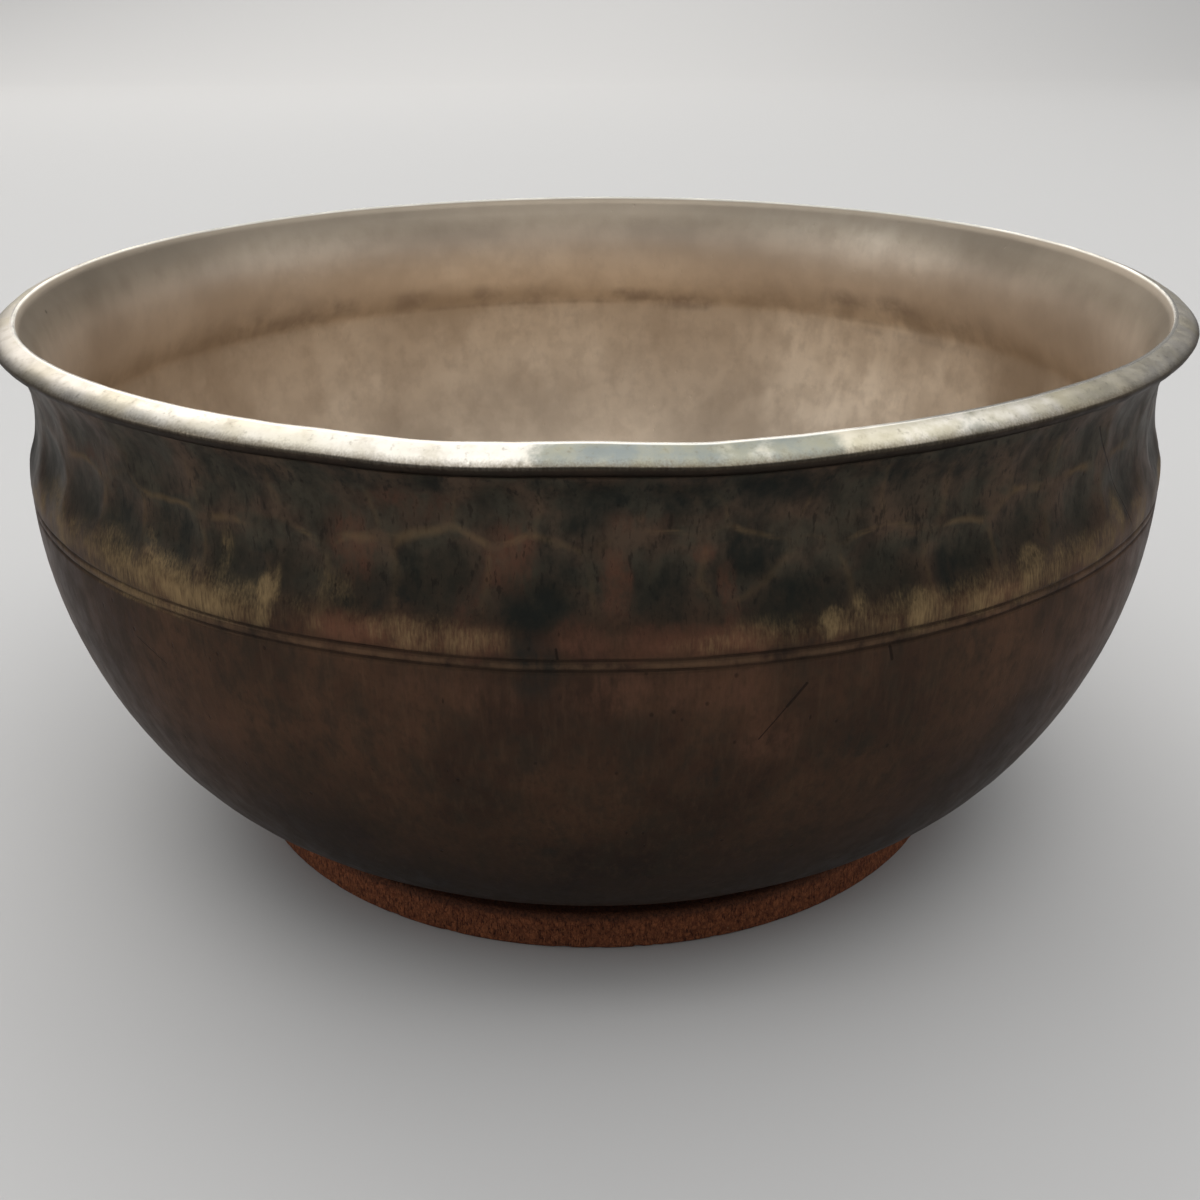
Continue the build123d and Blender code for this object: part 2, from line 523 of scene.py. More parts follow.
def ring_mesh(name, grid, first, last):
    """A closed mesh from rows of points round the axis, with one point closing each end."""
    count, around = grid.shape[:2]
    points = np.concatenate([grid.reshape(-1, 3), [first, last]])
    row, spot = np.meshgrid(np.arange(count - 1), np.arange(around), indexing="ij")
    beside = (spot + 1) % around
    quads = np.stack(
        [row * around + spot, row * around + beside, (row + 1) * around + beside, (row + 1) * around + spot],
        axis=-1,
    ).reshape(-1, 4)
    ring = np.arange(around)
    start = np.stack([(ring + 1) % around, ring, np.full(around, count * around)], 1)
    top = (count - 1) * around
    end = np.stack([top + ring, top + (ring + 1) % around, np.full(around, count * around + 1)], 1)
    mesh = bpy.data.meshes.new(name)
    mesh.from_pydata(points.tolist(), [], quads.tolist() + start.tolist() + end.tolist())
    mesh.polygons.foreach_set("use_smooth", np.ones(len(mesh.polygons), bool))
    mesh.update()
    piece = bpy.data.objects.new(name, mesh)
    bpy.context.scene.collection.objects.link(piece)
    return piece


def store(piece, name, values):
    """A number for each of the bowl's points, for its material. The end points get their row's mean."""
    values = np.append(values, [np.mean(values[:AROUND]), np.mean(values[-AROUND:])])
    piece.data.attributes.new(name, "FLOAT", "POINT").data.foreach_set("value", values.astype(np.float32))


def hammer_work(angle, height, flat, band):
    """The depth and ridge numbers of dents() for all points, and how far the dents fade in."""
    work = np.zeros((4, len(height)))
    work[:, band] = dents(angle[band], height[band], flat[band])
    fade = smooth(height, LINE_HEIGHTS[1] + 0.8 * MM, LINE_HEIGHTS[1] + 5 * MM)
    fade *= 1 - smooth(height, NECK_TOP - 2 * MM, NECK_TOP + 0.4 * MM)
    work[0] *= fade
    return work, fade


def planishing(flat, inside, band, seat_free, fade):
    """Soft unevenness outside and inside, and a finer one among the dents."""
    push = 0.10 * MM * layered(flat, 17 * MM, 21) * seat_free * (1 - fade)
    push[inside] = 0.13 * MM * layered(flat[inside], 22 * MM, 22)
    push[band] += fade[band] * 0.07 * MM * layered(flat[band], 6.5 * MM, 23, 2)
    return push


def cut_lines(height, flat, outside):
    """How deep each point lies in one of the two cut lines, which wander a little: about 1 at the bottom."""
    wander = 0.42 * MM * layered(flat, (30 * MM, 30 * MM, 1), 31, 2)
    line = np.zeros(len(height))
    for n, line_height in enumerate(LINE_HEIGHTS):
        own = 0.12 * MM * layered(flat, (14 * MM, 14 * MM, 1), 33 + n, 2)
        away = (height - line_height - wander - own) / LINE_HALF_WIDTH
        depth = 1 + 0.35 * layered(flat, 12 * MM, 41 + n, 2)
        line = np.maximum(line, np.where(outside, depth * np.exp(-((away / 0.62) ** 2)), 0))
    return line


def store_marks(bowl, angle, height, flat, inside):
    """All patches of colour: the listed ones, and chance ones where the lists leave off."""
    rng = np.random.default_rng(5)
    outer = {
        "ochre": OCHRE + HIDDEN_OCHRE + unseen(rng, 30, 98.8, 2, 2.8, 3.2, 0.85),
        "copper": COPPER + unseen(rng, 16, 104, 9, 2.4, 6, 0.9) + unseen(rng, 10, 72, 16, 7, 9, 0.5),
        "stain": STAIN + unseen(rng, 22, 109, 5, 3.4, 6, 0.9) + unseen(rng, 9, 126, 1, 8, 3, 0.8),
        "tarnish": TARNISH + unseen(rng, 7, 131, 0, 6, 9, 0.9, 105),
        "khaki": KHAKI + unseen(rng, 7, 131, 0, 14, 9, 1),
    }
    for seed, (name, places) in enumerate(outer.items(), 80):
        store(bowl, name, np.where(inside, 0, marks(angle, height, flat, places, seed)))
    # Inside: the crease's stains and painted shade, and the painted highlights
    inner = {"crease": CREASE_STAINS_AND_SHADE, "inside_highlight": INSIDE_HIGHLIGHTS}
    for seed, (name, places) in enumerate(inner.items(), 90):
        store(bowl, name, np.where(inside, marks(pi - angle, height, flat, places, seed, pi / 2), 0))


def held_at_lip(push, flat, spots, ends):
    """The push, changed at the lip so that it only gives way inwards and stays in the CAD model's box."""
    lip = smooth(spots, ends["neck"] - 2 * MM, ends["neck"] + 2 * MM)
    lip *= 1 - smooth(spots, ends["lip"], ends["lip"] + 6 * MM)
    sunk = np.minimum(0.16 * MM * layered(flat, 9 * MM, 51) - 0.14 * MM, 0)
    return push * (1 - lip) + lip * sunk


def build_bowl():
    """The closed bowl mesh, pushed out of its turned shape by dents, lines and unevenness."""
    across, height, spots, slope, ends = rows()
    count = len(across)
    angle = np.tile(np.linspace(0, 2 * pi, AROUND, endpoint=False), count)
    across, height, spots = (np.repeat(x, AROUND) for x in (across, height, spots))
    out_across, out_up = np.repeat(slope[:, 1], AROUND), np.repeat(-slope[:, 0], AROUND)
    flat = np.stack([across * np.cos(angle), across * np.sin(angle), height], 1)

    outside = spots < ends["underside"]
    inside = spots > ends["lip"]
    seat_free = smooth(spots, ends["seat"], ends["seat"] + 12 * MM)
    band = outside & (height > LINE_HEIGHTS[0])
    work, fade = hammer_work(angle, height, flat, band)
    line = cut_lines(height, flat, outside)
    push = planishing(flat, inside, band, seat_free, fade) - work[0]
    push -= LINE_DEPTH * line
    push = held_at_lip(push, flat, spots, ends)
    sink = rim_wave(angle, flat) * smooth(height, NECK_HEIGHT, RIM_HEIGHT - 2 * MM)

    reach = across + out_across * push
    up = height + out_up * push + sink
    grid = np.stack([reach * np.cos(angle), reach * np.sin(angle), up], 1).reshape(count, AROUND, 3)
    bowl = ring_mesh("hammered_bowl", grid, (0, 0, PAD_TOP), (0, 0, PAD_TOP + BODY_WALL))

    store(bowl, "dent", work[0] / LOWER_DEPTH)
    for name, values in zip(("rows_meet", "upper_meet", "lower_meet"), work[1:]):
        store(bowl, name, values / MM)
    store(bowl, "line", line)
    store(bowl, "past_edge", np.clip((spots - ends["underside"]) / MM, -9, 9))
    store(bowl, "past_crest", np.clip((spots - ends["lip"]) / MM, -9, 40))
    store_marks(bowl, angle, height, flat, inside)
    return bowl


# ---------------------------------------------------------------- material helpers


def tone(red, green, blue):
    """A linear colour from the usual 0 to 255 screen values."""
    found = [x / 255 for x in (red, green, blue)]
    return tuple(x / 12.92 if x <= 0.04045 else ((x + 0.055) / 1.055) ** 2.4 for x in found) + (1,)


class Shader:
    """A material's node tree, with short calls for the nodes that it is made of."""

    def __init__(self, name):
        self.material = bpy.data.materials.new(name)
        self.material.use_nodes = True
        self.tree = self.material.node_tree
        self.tree.nodes.clear()
        self.surface = self.tree.nodes.new("ShaderNodeBsdfPrincipled")
        output = self.tree.nodes.new("ShaderNodeOutputMaterial")
        self.tree.links.new(self.surface.outputs[0], output.inputs[0])
        self.place = self.tree.nodes.new("ShaderNodeTexCoord").outputs["Object"]

    def feed(self, socket, value):
        """Links a socket to another, or sets it to a plain number or colour."""
        if isinstance(value, bpy.types.NodeSocket):
            self.tree.links.new(value, socket)
        else:
            socket.default_value = value

    def attribute(self, name):
        node = self.tree.nodes.new("ShaderNodeAttribute")
        node.attribute_name = name
        return node.outputs["Fac"]

    def math(self, operation, a, b=0.0, clamp=False):
        node = self.tree.nodes.new("ShaderNodeMath")
        node.operation = operation
        node.use_clamp = clamp
        self.feed(node.inputs[0], a)
        self.feed(node.inputs[1], b)
        return node.outputs[0]

    def rise(self, value, start, end):
        """0 where value is start, 1 where it is end, with soft ends."""
        node = self.tree.nodes.new("ShaderNodeMapRange")
        node.interpolation_type = "SMOOTHSTEP"
        self.feed(node.inputs["Value"], value)
        node.inputs["From Min"].default_value = start
        node.inputs["From Max"].default_value = end
        return node.outputs["Result"]

    def mix(self, amount, a, b):
        """Colour a, turning to b as amount goes from 0 to 1."""
        node = self.tree.nodes.new("ShaderNodeMix")
        node.data_type = "RGBA"
        factor, first, second = node.inputs[0], node.inputs[6], node.inputs[7]
        self.feed(factor, amount)
        self.feed(first, a)
        self.feed(second, b)
        return node.outputs[2]

    def blend(self, amount, a, b):
        """Number a, turning to b as amount goes from 0 to 1."""
        node = self.tree.nodes.new("ShaderNodeMix")
        for socket, value in zip((node.inputs[0], node.inputs[2], node.inputs[3]), (amount, a, b)):
            self.feed(socket, value)
        return node.outputs[0]

    def wash(self, colour, amount, strength, shade):
        """Lays a shade over a colour, where amount is 1, with a strength from 0 to 1."""
        return self.mix(self.times(amount, strength), colour, shade)

    def times(self, first, *others):
        for other in others:
            first = self.math("MULTIPLY", first, other)
        return first

    def plus(self, first, *others):
        for other in others:
            first = self.math("ADD", first, other)
        return first

    def most(self, first, *others):
        for other in others:
            first = self.math("MAXIMUM", first, other)
        return first

    def near_zero(self, value, reach):
        """1 where value is 0, falling to 0 where it is reach either side."""
        return self.rise(self.math("ABSOLUTE", value), reach, 0)

    def vector(self, operation, a, b):
        node = self.tree.nodes.new("ShaderNodeVectorMath")
        node.operation = operation
        self.feed(node.inputs[0], a)
        self.feed(node.inputs["Scale"] if operation == "SCALE" else node.inputs[1], b)
        return node.outputs["Value" if operation in ("DOT_PRODUCT", "DISTANCE") else "Vector"]

    def split(self, value, kind="ShaderNodeSeparateXYZ"):
        node = self.tree.nodes.new(kind)
        self.tree.links.new(value, node.inputs[0])
        return node.outputs

    def stretched(self, size):
        """Object coordinates divided by size, in metres for each axis."""
        node = self.tree.nodes.new("ShaderNodeMapping")
        node.vector_type = "POINT"
        self.tree.links.new(self.place, node.inputs["Vector"])
        sizes = size if isinstance(size, tuple) else (size,) * 3
        node.inputs["Scale"].default_value = [1 / x for x in sizes]
        return node.outputs[0]

    def noise(self, size, detail=3.0, roughness=0.5):
        node = self.tree.nodes.new("ShaderNodeTexNoise")
        self.tree.links.new(self.stretched(size), node.inputs["Vector"])
        node.inputs["Scale"].default_value = 1
        node.inputs["Detail"].default_value = detail
        node.inputs["Roughness"].default_value = roughness
        return node.outputs["Fac"]

    def cells(self, size, feature="F1"):
        node = self.tree.nodes.new("ShaderNodeTexVoronoi")
        node.feature = feature
        self.tree.links.new(self.stretched(size), node.inputs["Vector"])
        node.inputs["Scale"].default_value = 1
        return node.outputs

    def specks(self, size, radius, share):
        """Small spots: one near the middle of a share of cells, with a radius in cells."""
        found = self.cells(size)
        spot = self.rise(found["Distance"], radius, 0.4 * radius)
        chosen = self.split(found["Color"], "ShaderNodeSeparateColor")[0]
        return self.times(spot, self.rise(chosen, 1 - share, 1.01 - share))

    def bumped(self, height, distance, strength=1.0):
        node = self.tree.nodes.new("ShaderNodeBump")
        node.inputs["Distance"].default_value = distance
        node.inputs["Strength"].default_value = strength
        self.tree.links.new(height, node.inputs["Height"])
        self.tree.links.new(node.outputs[0], self.surface.inputs["Normal"])


# ---------------------------------------------------------------- the bowl's brass

# Tones outside
BROWN = tone(58, 43, 34)
RED_BROWN = tone(78, 55, 42)
OLIVE_BROWN = tone(69, 66, 56)
WARM_BROWN = tone(84, 70, 58)
# Painted shade: the low body darkened towards the seat
SEAT_SHADE = tone(29, 23, 19)
DARK_MOTTLE = tone(44, 39, 35)
DARK_GRAIN = tone(38, 33, 29)
BRUSH_MARK = tone(98, 76, 58)
HOLLOW_GREY = tone(42, 44, 38)
# Painted highlight: lighter band along and between the two cut lines
LINE_HIGHLIGHT = tone(122, 98, 74)
COPPER_RED = tone(114, 76, 59)
OLD_GOLD = tone(152, 128, 92)
DARK_TICK = tone(40, 36, 32)
# Painted highlight on the ridges between dents
RIDGE_HIGHLIGHT = tone(128, 106, 78)
GREEN_BLACK = tone(35, 38, 35)
# Painted shade under the overhanging lip
UNDER_LIP_SHADE = tone(40, 33, 28)
CUT_BLACK = tone(26, 20, 17)

# Tones of the lip
SILVER = tone(228, 221, 210)
PALE_BRASS = tone(212, 203, 184)
LIP_MOTTLE = tone(168, 156, 132)
PALE_KHAKI = tone(186, 178, 152)
BLUE_GREY = tone(108, 118, 118)
GREEN_GREY = tone(146, 145, 128)
LIP_GRAIN = tone(120, 108, 88)
LIP_SHADE = tone(78, 66, 50)
# Painted highlight: the thin bright line along the lip's inner edge
INNER_EDGE_HIGHLIGHT = tone(248, 244, 234)

# Tones inside
TAN = tone(190, 173, 153)
PALE_TAN = tone(210, 193, 172)
# Painted highlight inside the bowl
HIGHLIGHT_TAN = tone(250, 236, 216)
TAN_PATCH = tone(178, 160, 140)
TAN_MOTTLE = tone(168, 150, 132)
# Painted light: a paler, less orange band below the rim inside
THROAT_LIGHT = tone(220, 205, 188)
RIM_GREY = tone(134, 124, 110)
# Partly stain, partly painted shade in the inside crease
CREASE_STAIN_AND_SHADE = tone(124, 108, 98)
SPECK_BROWN = tone(80, 66, 56)

EDGE_GLOSS = (0.55, 0.54, 0.54, 1)  # how much the surface reflects where it is seen edge on


def ridges(s):
    """Painted highlight: soft light lines on the ridges between dents."""
    rows_meet = s.attribute("rows_meet")
    between_rows = s.near_zero(rows_meet, 0.34)
    above = s.times(s.near_zero(s.attribute("upper_meet"), 0.22), s.rise(rows_meet, 0, 0.1))
    below = s.times(s.near_zero(s.attribute("lower_meet"), 0.34), s.rise(rows_meet, 0, -0.1))
    on_dents = s.rise(s.attribute("dent"), -0.02, 0.06)
    return s.times(s.most(between_rows, s.times(above, 0.35), s.times(below, 0.5)), on_dents)


def scratches(s, height):
    """Thin dark scratches, from the distance to each line on the bowl's unrolled outside."""
    girth = SHOULDER_RADIUS / MM
    x, y, _ = s.split(s.place)
    along = s.times(s.math("ARCTAN2", x, s.times(y, -1)), girth)
    spot = s.tree.nodes.new("ShaderNodeCombineXYZ")
    s.feed(spot.inputs[0], along)
    s.feed(spot.inputs[1], s.times(height, 1 / MM))
    total = 0.0
    for start, low, end, high, half_width in SCRATCHES:
        first = Vector((radians(start) * girth, low, 0))
        run = Vector((radians(end) * girth, high, 0)) - first
        past = s.vector("SUBTRACT", spot.outputs[0], first)
        part = s.math("MULTIPLY", s.vector("DOT_PRODUCT", past, run / run.length_squared), 1, clamp=True)
        away = s.vector("DISTANCE", past, s.vector("SCALE", run, part))
        total = s.most(s.rise(away, 1.4 * half_width, 0.5 * half_width), total)
    return total


def ragged(s, name, grain, reach):
    """A stored mark whose edge is broken up by a noise's grain."""
    mark = s.attribute(name)
    broken = s.plus(mark, s.times(s.plus(grain, -0.5), reach))
    return s.times(s.rise(broken, -0.1, 1.25), s.rise(mark, 0, 0.35))


def patina_colour(s, grain, neck):
    """Mottled brown, greener on the neck, with painted shade darkening it towards the seat."""
    heel = s.rise(grain["height"], 0.082, 0.016)
    colour = s.mix(s.rise(grain["cloud"], 0.36, 0.64), BROWN, RED_BROWN)
    neck_colour = s.mix(s.rise(grain["patch"], 0.4, 0.6), OLIVE_BROWN, WARM_BROWN)
    colour = s.wash(colour, neck, 0.85, neck_colour)
    # Painted shade: darker towards the seat
    colour = s.wash(colour, heel, 0.85, SEAT_SHADE)
    colour = s.wash(colour, s.rise(grain["mottle"], 0.42, 0.72), 0.65, DARK_MOTTLE)
    colour = s.wash(colour, s.rise(grain["fine"], 0.45, 0.75), 0.4, DARK_GRAIN)
    return s.wash(colour, s.rise(grain["brush"], 0.46, 0.76), s.blend(neck, 0.16, 0.10), BRUSH_MARK)


def outside_colour(s, grain, ridge_highlight, cut):
    """The patina, darker in the dents, ochre and copper where it is worn thin, with painted highlights on the
    ridges and between the cut lines, and painted shade under the lip and towards the seat. Also the worn
    places together with the painted ridge highlights.
    """
    patch, mottle, tick = (grain[name] for name in ("patch", "mottle", "tick"))
    neck = s.rise(grain["height"], 0.096, 0.108)
    colour = patina_colour(s, grain, neck)
    shadowed = s.rise(s.blend(0.5, patch, mottle), 0.36, 0.58)
    hollow = s.times(s.rise(s.attribute("dent"), 0.05, 0.85), s.blend(shadowed, 0.4, 1))
    colour = s.wash(colour, hollow, 0.7, HOLLOW_GREY)
    # Painted highlight along and between the two cut lines
    between_lines_highlight = s.near_zero(s.plus(grain["height"], -sum(LINE_HEIGHTS) / 2), 2.2 * MM)
    colour = s.wash(colour, s.times(between_lines_highlight, s.rise(mottle, 0.65, 0.4)), 0.28, LINE_HIGHLIGHT)
    copper = ragged(s, "copper", s.blend(0.35, mottle, tick), 2.6)
    colour = s.wash(colour, copper, 0.75, COPPER_RED)
    worn = s.blend(0.55, mottle, s.blend(0.3, grain["streak"], patch))
    ochre = s.times(ragged(s, "ochre", worn, 3), 0.9)
    colour = s.mix(ochre, colour, OLD_GOLD)
    colour = s.wash(colour, s.rise(tick, 0.56, 0.68), s.blend(neck, 0.25, 0.65), DARK_TICK)
    # Painted highlight on the ridges between dents
    colour = s.wash(colour, ridge_highlight, 0.34, RIDGE_HIGHLIGHT)
    stain = ragged(s, "stain", s.blend(0.3, mottle, tick), 2.2)
    colour = s.wash(colour, stain, 0.9, GREEN_BLACK)
    # Painted shade on the lip's underside, towards its edge
    colour = s.wash(colour, s.rise(s.attribute("past_edge"), -4.8, -3), 0.75, UNDER_LIP_SHADE)
    return s.wash(colour, cut, 0.7, CUT_BLACK), s.most(ochre, ridge_highlight)


def lip_colour(s, grain):
    """Rubbed silvery brass with khaki and blue-grey tarnish, and a polished inner edge lightened by a painted
    highlight. Also that edge.
    """
    cloud, mottle, fine, streak = (grain[name] for name in ("cloud", "mottle", "fine", "streak"))
    colour = s.mix(s.rise(cloud, 0.42, 0.58), SILVER, PALE_BRASS)
    colour = s.wash(colour, s.rise(mottle, 0.45, 0.8), 0.5, LIP_MOTTLE)
    khaki = s.times(s.attribute("khaki"), s.rise(mottle, 0.25, 0.6))
    colour = s.wash(colour, khaki, 0.8, PALE_KHAKI)
    tarnish = s.rise(s.plus(s.attribute("tarnish"), s.times(mottle, 0.6), s.times(fine, 0.3)), 0.6, 1.0)
    tarnish_colour = s.mix(s.rise(s.blend(0.5, grain["patch"], mottle), 0.38, 0.62), BLUE_GREY, GREEN_GREY)
    colour = s.wash(colour, tarnish, 0.85, tarnish_colour)
    colour = s.wash(colour, s.rise(fine, 0.55, 0.8), 0.5, LIP_GRAIN)
    outer_edge = s.rise(s.plus(s.attribute("past_edge"), s.times(streak, 1.6)), 3.2, 0.7)
    colour = s.wash(colour, outer_edge, 0.85, LIP_SHADE)
    # Polished inner edge of the lip: glossier, and lightened by a painted highlight
    polished_lit_edge = s.rise(s.attribute("past_crest"), -1.1, -0.5)
    return s.wash(colour, polished_lit_edge, 0.85, INNER_EDGE_HIGHLIGHT), polished_lit_edge


def inside_colour(s, grain):
    """Satin tan with painted highlights and a painted lighter band below the rim, greyer near the rim, with
    darker marks along the crease under the neck, partly stains and partly painted shade.
    """
    patch, mottle = grain["patch"], grain["mottle"]
    colour = s.mix(s.rise(grain["cloud"], 0.36, 0.64), TAN, PALE_TAN)
    # Painted highlights: pale patches standing in for soft reflections
    colour = s.wash(colour, s.attribute("inside_highlight"), 0.95, HIGHLIGHT_TAN)
    colour = s.wash(colour, s.rise(patch, 0.4, 0.65), 0.25, TAN_PATCH)
    colour = s.wash(colour, s.rise(mottle, 0.42, 0.72), 0.28, TAN_MOTTLE)
    past_crest = s.attribute("past_crest")
    # Painted light: a paler band below the rim inside
    throat_light = s.times(s.rise(past_crest, 7, 16), s.rise(past_crest, 36, 26))
    colour = s.wash(colour, throat_light, 0.5, THROAT_LIGHT)
    colour = s.wash(colour, s.rise(past_crest, 16, 3), 0.8, RIM_GREY)
    # Crease marks: partly stains, partly painted shade
    crease = s.times(s.attribute("crease"), s.rise(s.blend(0.5, patch, mottle), 0.25, 0.6))
    colour = s.wash(colour, crease, 0.65, CREASE_STAIN_AND_SHADE)
    return s.wash(colour, s.specks(13 * MM, 0.055, 0.35), 0.7, SPECK_BROWN)


def bowl_gloss(s, grain, on_lip, inside, polished_lit_edge):
    """How rough each part of the bowl is."""
    outside = s.blend(s.rise(grain["mottle"], 0.3, 0.7), 0.36, 0.48)
    lip = s.blend(polished_lit_edge, s.blend(s.rise(grain["mottle"], 0.4, 0.7), 0.32, 0.44), 0.22)
    satin = s.blend(s.rise(grain["cloud"], 0.3, 0.7), 0.44, 0.54)
    return s.blend(inside, s.blend(on_lip, outside, lip), satin)


def bowl_grain(s):
    """The height and the noises that the bowl's tones share."""
    return {
        "height": s.split(s.place)["Z"],
        "cloud": s.noise(30 * MM, 4, 0.55),
        "patch": s.noise((9 * MM, 9 * MM, 7 * MM), 3, 0.5),
        "mottle": s.noise((5 * MM, 5 * MM, 7 * MM), 4, 0.62),
        "fine": s.noise((1.2 * MM, 1.2 * MM, 2 * MM), 3, 0.6),
        "brush": s.noise((1.3 * MM, 1.3 * MM, 18 * MM), 3, 0.6),
        "streak": s.noise((0.4 * MM, 0.4 * MM, 3.2 * MM), 3, 0.6),
        "tick": s.noise((1.0 * MM, 1.0 * MM, 3.4 * MM), 3, 0.6),
    }


def bowl_material():
    """The outside, lip and inside, told apart by the distance past the lip's two edges."""
    s = Shader("hammered_brass")
    grain = bowl_grain(s)
    mottle, streak = grain["mottle"], grain["streak"]
    # Ridge mask: a painted highlight in the colour, and also a raised bump
    ridge_highlight = s.times(ridges(s), s.rise(s.blend(0.5, grain["cloud"], mottle), 0.38, 0.54))
    scratched = scratches(s, grain["height"])
    round_pits = s.specks((5 * MM, 5 * MM, 6 * MM), 0.11, 0.35)
    long_pits = s.specks((3 * MM, 3 * MM, 8 * MM), 0.1, 0.25)
    pits = s.most(round_pits, long_pits)
    lines = s.times(s.rise(s.attribute("line"), 0.2, 0.9), s.blend(mottle, 0.9, 0.6))
    cut = s.most(lines, scratched, s.times(pits, 0.65))

    patina, worn_and_ridge_lit = outside_colour(s, grain, ridge_highlight, cut)
    silver, polished_lit_edge = lip_colour(s, grain)
    on_lip = s.rise(s.plus(s.attribute("past_edge"), s.times(streak, 1.2)), -0.1, 1.4)
    inside = s.rise(s.attribute("past_crest"), 0.1, 0.9)
    colour = s.mix(inside, s.mix(on_lip, patina, silver), inside_colour(s, grain))
    metal = s.blend(inside, s.blend(on_lip, s.blend(worn_and_ridge_lit, 0.85, 0.95), 0.95), 0.8)
    s.feed(s.surface.inputs["Base Color"], colour)
    s.feed(s.surface.inputs["Metallic"], metal)
    s.feed(s.surface.inputs["Roughness"], bowl_gloss(s, grain, on_lip, inside, polished_lit_edge))
    s.surface.inputs["Specular Tint"].default_value = EDGE_GLOSS

    fine = s.plus(s.times(streak, 0.5), s.times(s.noise(0.5 * MM, 2, 0.5), 0.25), s.times(mottle, 1.8))
    worked = s.plus(fine, s.times(ridge_highlight, 0.8), s.times(s.most(scratched, pits), -1.5))
    s.bumped(worked, 0.05 * MM, 0.6)
    return s.material


# ---------------------------------------------------------------- the cork pad

PAD_AROUND = 700  # points round the pad
PIT_DEPTH = 0.5 * MM
PIT_SIZE = 2.2 * MM
SEAT_RADIUS = 72.3 * MM  # edge of the flat that the bowl stands on, which leaves a faint ring on the cork


def pad_section():
    """The pad's outline as (distance, height) points, from the underside's centre to the top's."""
    reach = PAD_RADIUS - PAD_EDGE_ROUNDING
    inmost = 4 * MM
    flats = np.linspace(inmost, reach, 24)
    bend = np.linspace(0, pi / 2, 5)[1:-1]
    lower = np.stack([reach + PAD_EDGE_ROUNDING * np.sin(bend), PAD_EDGE_ROUNDING * (1 - np.cos(bend))], 1)
    wall_heights = np.linspace(PAD_EDGE_ROUNDING, PAD_TOP - PAD_EDGE_ROUNDING, 12)
    wall = np.stack([np.full(12, PAD_RADIUS), wall_heights], 1)
    upper = np.stack([lower[::-1, 0], PAD_TOP - lower[::-1, 1]], 1)
    under = np.stack([flats, np.zeros(24)], 1)
    top_flats = np.concatenate([np.linspace(reach, 66 * MM, 30), np.linspace(60 * MM, inmost, 6)])
    top = np.stack([top_flats, np.full(36, PAD_TOP)], 1)
    return np.concatenate([under, lower, wall, upper, top])


def build_pad():
    """The turned pad, with small pits in its wall."""
    section = pad_section()
    angle = np.tile(np.linspace(0, 2 * pi, PAD_AROUND, endpoint=False), len(section))
    across, height = (np.repeat(section[:, n], PAD_AROUND) for n in (0, 1))
    flat = np.stack([across * np.cos(angle), across * np.sin(angle), height], 1)
    pits = smooth(layered(flat, PIT_SIZE, 71), 0.05, 0.75) * PIT_DEPTH
    pits *= smooth(across, PAD_RADIUS - 3 * MM, PAD_RADIUS - 0.5 * MM)
    reach = across - pits
    grid = np.stack([reach * np.cos(angle), reach * np.sin(angle), height], 1)
    grid = grid.reshape(len(section), PAD_AROUND, 3)
    return ring_mesh("cork_disc", grid, (0, 0, 0), (0, 0, PAD_TOP))


DARK_CORK = tone(92, 50, 33)
LIGHT_CORK = tone(148, 88, 57)
PALE_GRANULE = tone(168, 106, 70)
CORK_GRAIN = tone(84, 44, 30)
CORK_SEAM = tone(70, 38, 28)
FISSURE = tone(40, 22, 18)
# Painted shade where the bowl overhangs the pad, and grime on the pressed seat ring
SHADE_AND_GRIME = tone(60, 40, 31)
CORK_FLECK = tone(196, 150, 116)


def overhang_shade_and_ring(s, soft):
    """Painted shade round the edge of the pad's top and the top of its wall, where the bowl overhangs it, and
    the ring that the bowl's seat has pressed.
    """
    x, y, height = s.split(s.place)
    from_axis = s.math("POWER", s.plus(s.times(x, x), s.times(y, y)), 0.5)
    # Painted shade by the pad's outer top edge, under the bowl
    rim = s.rise(from_axis, 84 * MM, 93 * MM)
    pressed = s.times(s.near_zero(s.plus(from_axis, -SEAT_RADIUS), 3 * MM), s.rise(soft, 0.3, 0.6), 0.5)
    near_top = s.rise(height, PAD_TOP - 2.6 * MM, PAD_TOP - 0.8 * MM)
    return s.times(s.most(rim, pressed), near_top)


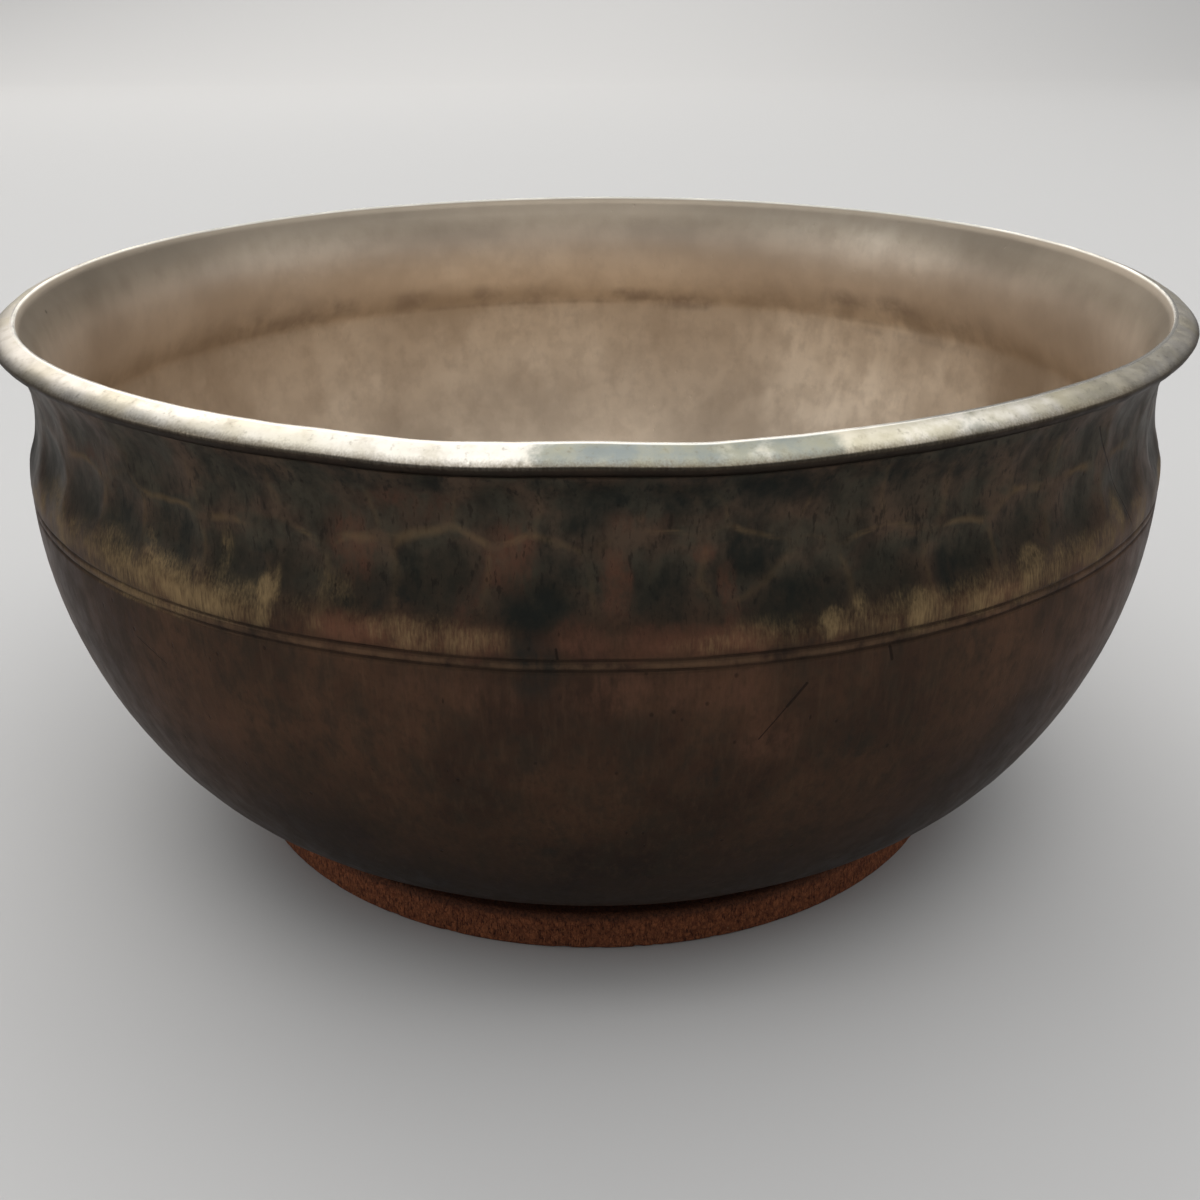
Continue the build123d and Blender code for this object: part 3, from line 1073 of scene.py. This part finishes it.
def cork_material():
    """Granules with dark seams and fissures."""
    s = Shader("cork")
    granule_size = (1.3 * MM, 1.3 * MM, 1.7 * MM)
    shade = s.split(s.cells(granule_size)["Color"], "ShaderNodeSeparateColor")
    seam = s.cells(granule_size, "DISTANCE_TO_EDGE")["Distance"]
    soft = s.noise((0.8 * MM, 0.8 * MM, 1.3 * MM), 3, 0.6)
    fine = s.noise(0.35 * MM, 3, 0.6)
    fissure = s.rise(s.noise((0.34 * MM, 0.34 * MM, 1.5 * MM), 3, 0.65), 0.53, 0.66)
    colour = s.mix(s.rise(soft, 0.32, 0.68), DARK_CORK, LIGHT_CORK)
    colour = s.wash(colour, shade[0], 0.3, PALE_GRANULE)
    colour = s.wash(colour, s.rise(fine, 0.5, 0.75), 0.5, CORK_GRAIN)
    colour = s.wash(colour, s.rise(seam, 0.10, 0.02), 0.35, CORK_SEAM)
    colour = s.wash(colour, fissure, 0.85, FISSURE)
    # Painted shade under the bowl's overhang, and the pressed seat ring
    colour = s.wash(colour, overhang_shade_and_ring(s, soft), 0.6, SHADE_AND_GRIME)
    colour = s.wash(colour, s.specks(6 * MM, 0.08, 0.2), 0.8, CORK_FLECK)
    s.feed(s.surface.inputs["Base Color"], colour)
    s.surface.inputs["Roughness"].default_value = 0.9
    s.surface.inputs["Specular IOR Level"].default_value = 0.2
    relief = s.plus(s.times(s.rise(seam, 0, 0.14), 0.5), s.times(soft, 0.6), s.times(fissure, -0.9))
    s.bumped(relief, 0.25 * MM, 0.8)
    return s.material


# ---------------------------------------------------------------- stage, lights and camera

CAMERA_BACK = 353.1 * MM  # how far the camera stands in front of the bowl's axis
CAMERA_HEIGHT = 202.6 * MM
CAMERA_PITCH = 0.42065  # radians down from level
CAMERA_YAW = 0.00272
CAMERA_ROLL = -0.00461
LENS = 42  # millimetres, for a sensor 36 wide
SENSOR = 36

SHEET_HALF_WIDTH = 6
SHEET_FRONT = -4
SHEET_BACK = 2.6  # where the floor starts to curve up
SHEET_CURVE = 1.2
SHEET_TOP = 4
SHEET_GREY = tone(196, 194, 192)


def add_camera():
    """The photograph's camera: a little above the rim, looking down into the bowl."""
    level = Vector((cos(CAMERA_YAW), -sin(CAMERA_YAW), 0))
    ahead = Vector((sin(CAMERA_YAW), cos(CAMERA_YAW), 0))
    look = ahead * cos(CAMERA_PITCH) - Vector((0, 0, sin(CAMERA_PITCH)))
    upright = level.cross(look)
    right = level * cos(CAMERA_ROLL) + upright * sin(CAMERA_ROLL)
    up = upright * cos(CAMERA_ROLL) - level * sin(CAMERA_ROLL)
    data = bpy.data.cameras.new("camera")
    data.lens = LENS
    data.sensor_width = SENSOR
    data.clip_start = 0.01
    camera = bpy.data.objects.new("camera", data)
    turn = Matrix((right, up, -look)).transposed().to_4x4()
    camera.matrix_world = Matrix.Translation((0, -CAMERA_BACK, CAMERA_HEIGHT)) @ turn
    bpy.context.scene.collection.objects.link(camera)
    bpy.context.scene.camera = camera


def add_light(name, place, aim, size, power, colour=(1, 1, 1)):
    """A flat rectangular lamp at a place, turned to its aim."""
    data = bpy.data.lights.new(name, "AREA")
    data.shape = "RECTANGLE"
    data.size, data.size_y = size
    data.energy = power
    data.color = colour
    light = bpy.data.objects.new(name, data)
    light.location = place
    light.rotation_euler = (Vector(aim) - Vector(place)).to_track_quat("-Z", "Y").to_euler()
    bpy.context.scene.collection.objects.link(light)


def add_stage():
    """A plain pale sheet: floor in front, curving up behind."""
    curve = arc((SHEET_BACK, SHEET_CURVE), SHEET_CURVE, -pi / 2, 0, 0.05)
    section = np.concatenate([[(SHEET_FRONT, 0)], curve, [(SHEET_BACK + SHEET_CURVE, SHEET_TOP)]])
    points = [(x, y, z) for y, z in section for x in (-SHEET_HALF_WIDTH, SHEET_HALF_WIDTH)]
    faces = [(2 * n, 2 * n + 1, 2 * n + 3, 2 * n + 2) for n in range(len(section) - 1)]
    mesh = bpy.data.meshes.new("backdrop")
    mesh.from_pydata(points, [], faces)
    mesh.polygons.foreach_set("use_smooth", np.ones(len(faces), bool))
    backdrop = bpy.data.objects.new("backdrop", mesh)
    s = Shader("pale_backdrop")
    s.surface.inputs["Base Color"].default_value = SHEET_GREY
    s.surface.inputs["Roughness"].default_value = 0.95
    mesh.materials.append(s.material)
    bpy.context.scene.collection.objects.link(backdrop)


def add_lights():
    """A wide softbox overhead, a window behind to the left, and weaker lamps in front and at both sides."""
    add_light("overhead", (0, 0.9, 2.8), (0, 0.9, 0), (5, 4.4), 85, (0.97, 0.99, 1))
    add_light("window", (-0.9, 2.9, 1.7), (0, 0, 0.1), (3.6, 2), 40, (1, 0.98, 0.95))
    add_light("front_top", (0.1, -0.9, 1.5), (0, 0, 0.1), (1.4, 0.9), 8)
    add_light("left", (-1.5, -0.3, 0.8), (0, 0, 0.1), (0.8, 0.8), 3)
    add_light("right", (1.6, 0.1, 0.9), (0, 0, 0.1), (0.8, 0.8), 2.5)
    world = bpy.data.worlds.new("studio")
    world.use_nodes = True
    world.node_tree.nodes["Background"].inputs["Color"].default_value = (0.85, 0.88, 0.92, 1)
    world.node_tree.nodes["Background"].inputs["Strength"].default_value = 0.3
    bpy.context.scene.world = world


add_camera()
add_stage()
add_lights()

bowl = build_bowl()
bowl.data.materials.append(bowl_material())
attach(bowl, "bowl")
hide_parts("bowl")

pad = build_pad()
pad.data.materials.append(cork_material())
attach(pad, "pad")
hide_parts("cork_pad")

bpy.context.scene.view_settings.view_transform = "Standard"
